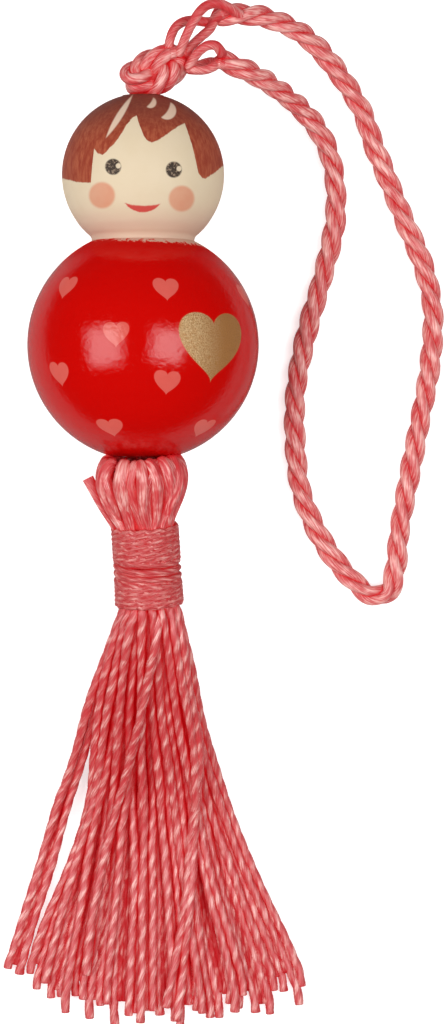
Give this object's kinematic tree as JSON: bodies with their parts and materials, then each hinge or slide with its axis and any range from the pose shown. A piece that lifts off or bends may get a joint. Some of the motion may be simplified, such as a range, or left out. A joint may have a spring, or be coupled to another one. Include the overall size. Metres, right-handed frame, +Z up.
{
  "type": "kokeshi doll charm",
  "caption": "Round-headed painted wooden doll charm on a silky cord, with a knot and hanging loop at the crown and a bound thread tassel below.",
  "frame": {"origin": "middle of the doll and tassel's box, on the surface they lie on", "axes": "+Y along the doll's axis towards the head, +Z up out of the face, +X to the doll's left, where the loop lies"},
  "size_m": [0.0589, 0.1341, 0.03],
  "materials": {
    "red_lacquer": "glossy red lacquer over turned wood",
    "skin_paint": "satin cream paint over turned wood, with painted hair and face",
    "red_silk": "silky red thread",
    "coral_silk": "silky coral thread"
  },
  "bodies": {
    "cord_line": {"core_cord": "red_silk"},
    "doll": {"body_bead": "red_lacquer", "head_bead": "skin_paint"},
    "knot": {"top_knot": "coral_silk", "opened_strands": "coral_silk"},
    "loop": {"hanging_cord": "coral_silk"},
    "cord_end": {"core_end_knot": "red_silk"},
    "tassel": {"tassel_head": "coral_silk", "collar_binding": "red_silk", "binding_tail": "coral_silk", "tassel_strand_01": "coral_silk", "tassel_strand_02": "coral_silk", "tassel_strand_03": "coral_silk", "tassel_strand_04": "coral_silk", "tassel_strand_05": "coral_silk", "tassel_strand_06": "coral_silk", "tassel_strand_07": "coral_silk", "tassel_strand_08": "coral_silk", "tassel_strand_09": "coral_silk", "tassel_strand_10": "coral_silk", "tassel_strand_11": "coral_silk", "tassel_strand_12": "coral_silk", "tassel_strand_13": "coral_silk", "tassel_strand_14": "coral_silk", "tassel_strand_15": "coral_silk", "tassel_strand_16": "coral_silk", "tassel_strand_17": "coral_silk", "tassel_strand_18": "coral_silk", "tassel_strand_19": "coral_silk", "tassel_strand_20": "coral_silk", "tassel_strand_21": "coral_silk", "tassel_strand_22": "coral_silk", "tassel_strand_23": "coral_silk", "tassel_strand_24": "coral_silk", "tassel_strand_25": "coral_silk", "tassel_strand_26": "coral_silk", "tassel_strand_27": "coral_silk", "tassel_strand_28": "coral_silk", "tassel_strand_29": "coral_silk", "tassel_strand_30": "coral_silk", "tassel_strand_31": "coral_silk", "tassel_strand_32": "coral_silk", "tassel_strand_33": "coral_silk", "tassel_strand_34": "coral_silk", "tassel_strand_35": "coral_silk", "tassel_strand_36": "coral_silk", "tassel_strand_37": "coral_silk"}
  },
  "joints": [
    {"name": "doll_spin", "type": "hinge", "parent": "cord_line", "child": "doll", "pos_m": [-0.0013, 0.0254, 0.015], "axis": [0, 1, 0], "continuous": true},
    {"name": "knot_twist", "type": "hinge", "parent": "cord_line", "child": "knot", "pos_m": [-0.0013, 0.0576, 0.015], "axis": [0, -1, 0], "range_deg": [0, 150]},
    {"name": "loop_swing", "type": "hinge", "parent": "knot", "child": "loop", "pos_m": [0.0065, 0.0646, 0.015], "axis": [0, 0, 1], "range_deg": [0, 90]},
    {"name": "tassel_lift", "type": "hinge", "parent": "cord_line", "child": "cord_end", "pos_m": [-0.0013, 0.0056, 0.015], "axis": [-1, 0, 0], "range_deg": [0, 45]},
    {"name": "tassel_sway", "type": "hinge", "parent": "cord_end", "child": "tassel", "pos_m": [-0.0013, 0.0056, 0.015], "axis": [0, 0, 1], "range_deg": [-25, 25]}
  ]
}
